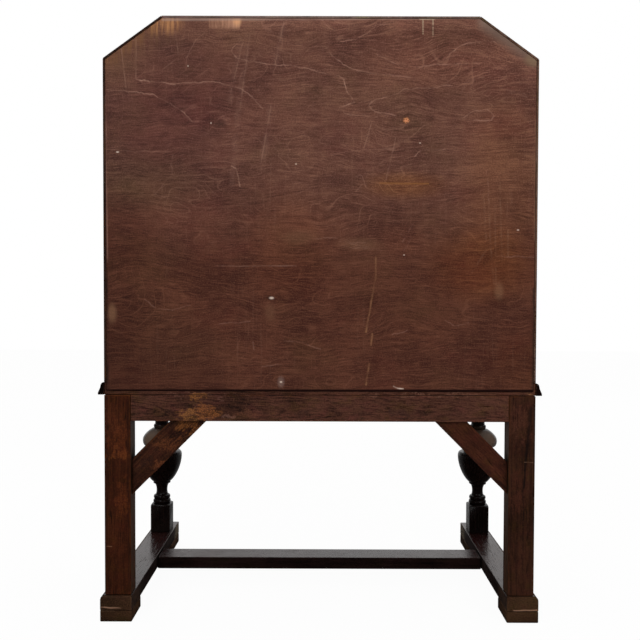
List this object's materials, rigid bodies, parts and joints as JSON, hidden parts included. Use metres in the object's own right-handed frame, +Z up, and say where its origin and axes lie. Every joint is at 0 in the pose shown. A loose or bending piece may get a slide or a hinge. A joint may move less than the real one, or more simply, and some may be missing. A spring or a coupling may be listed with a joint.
{
  "type": "writing bureau",
  "caption": "Slope-front oak writing bureau with canted top corners, drawers and pull-out supports, on a low stand with cup-and-cover front legs, braced rear legs and a plywood back.",
  "frame": {"origin": "on the floor under the middle of the bounding box", "axes": "+Z up; -Y is the front, where a person sits; +X to that person's right"},
  "size_m": [0.8084, 0.46, 1.067],
  "materials": {
    "dark_oak": "dark stained oak under old polish, worn at the edges",
    "stained_plywood": "red-brown stained plywood with a thin, scuffed finish",
    "drawer_lining": "plain unpolished drawer wood",
    "aged_brass": "dull aged brass"
  },
  "bodies": {
    "case_and_stand": {"rear_leg_left": "dark_oak", "front_leg_left": "dark_oak", "runner_left": "dark_oak", "foot_rear_left": "dark_oak", "foot_front_left": "dark_oak", "rear_brace_left": "dark_oak", "side_apron_left": "dark_oak", "case_side_left": "dark_oak", "cant_left": "dark_oak", "base_moulding_left": "dark_oak", "loper_partition_left": "dark_oak", "inner_divider_left": "dark_oak", "hinge_bed_leaf_left": "aged_brass", "rear_leg_right": "dark_oak", "front_leg_right": "dark_oak", "runner_right": "dark_oak", "foot_rear_right": "dark_oak", "foot_front_right": "dark_oak", "rear_brace_right": "dark_oak", "side_apron_right": "dark_oak", "case_side_right": "dark_oak", "cant_right": "dark_oak", "base_moulding_right": "dark_oak", "loper_partition_right": "dark_oak", "inner_divider_right": "dark_oak", "hinge_bed_leaf_right": "aged_brass", "stretcher": "dark_oak", "rear_apron": "dark_oak", "front_apron": "dark_oak", "top_board": "dark_oak", "bottom_board": "dark_oak", "back_panel": "stained_plywood", "base_moulding_front": "dark_oak", "writing_board": "dark_oak", "drawer_divider": "dark_oak", "inner_shelf": "dark_oak"},
    "fall": {"fall": "dark_oak", "hinge_fall_leaf_left": "aged_brass", "hinge_fall_leaf_right": "aged_brass"},
    "loper_left": {"loper_left": "dark_oak"},
    "loper_right": {"loper_right": "dark_oak"},
    "upper_drawer": {"upper_drawer_front": "dark_oak", "upper_drawer_side_left": "drawer_lining", "upper_drawer_side_right": "drawer_lining", "upper_drawer_back": "drawer_lining", "upper_drawer_bottom": "drawer_lining", "upper_drawer_handle_left_rose": "aged_brass", "upper_drawer_handle_right_rose": "aged_brass"},
    "upper_drawer_drop_left": {"upper_drawer_handle_left_drop": "aged_brass"},
    "upper_drawer_drop_right": {"upper_drawer_handle_right_drop": "aged_brass"},
    "lower_drawer": {"lower_drawer_front": "dark_oak", "lower_drawer_side_left": "drawer_lining", "lower_drawer_side_right": "drawer_lining", "lower_drawer_back": "drawer_lining", "lower_drawer_bottom": "drawer_lining", "lower_drawer_handle_left_rose": "aged_brass", "lower_drawer_handle_right_rose": "aged_brass"},
    "lower_drawer_drop_left": {"lower_drawer_handle_left_drop": "aged_brass"},
    "lower_drawer_drop_right": {"lower_drawer_handle_right_drop": "aged_brass"}
  },
  "joints": [
    {"name": "fall_hinge", "type": "hinge", "parent": "case_and_stand", "child": "fall", "pos_m": [0, -0.193, 0.735], "axis": [1, 0, 0], "range_deg": [0, 120]},
    {"name": "loper_left_slide", "type": "slide", "parent": "case_and_stand", "child": "loper_left", "axis": [0, -1, 0], "range_m": [0, 0.26]},
    {"name": "loper_right_slide", "type": "slide", "parent": "case_and_stand", "child": "loper_right", "axis": [0, -1, 0], "range_m": [0, 0.26]},
    {"name": "upper_drawer_slide", "type": "slide", "parent": "case_and_stand", "child": "upper_drawer", "axis": [0, -1, 0], "range_m": [0, 0.3]},
    {"name": "upper_drawer_drop_left_hinge", "type": "hinge", "parent": "upper_drawer", "child": "upper_drawer_drop_left", "pos_m": [-0.16375, -0.2045, 0.64986], "axis": [-1, 0, 0], "range_deg": [0, 75]},
    {"name": "upper_drawer_drop_right_hinge", "type": "hinge", "parent": "upper_drawer", "child": "upper_drawer_drop_right", "pos_m": [0.16375, -0.2045, 0.64986], "axis": [-1, 0, 0], "range_deg": [0, 75]},
    {"name": "lower_drawer_slide", "type": "slide", "parent": "case_and_stand", "child": "lower_drawer", "axis": [0, -1, 0], "range_m": [0, 0.3]},
    {"name": "lower_drawer_drop_left_hinge", "type": "hinge", "parent": "lower_drawer", "child": "lower_drawer_drop_left", "pos_m": [-0.18175, -0.2045, 0.50176], "axis": [-1, 0, 0], "range_deg": [0, 75]},
    {"name": "lower_drawer_drop_right_hinge", "type": "hinge", "parent": "lower_drawer", "child": "lower_drawer_drop_right", "pos_m": [0.18175, -0.2045, 0.50176], "axis": [-1, 0, 0], "range_deg": [0, 75]}
  ]
}
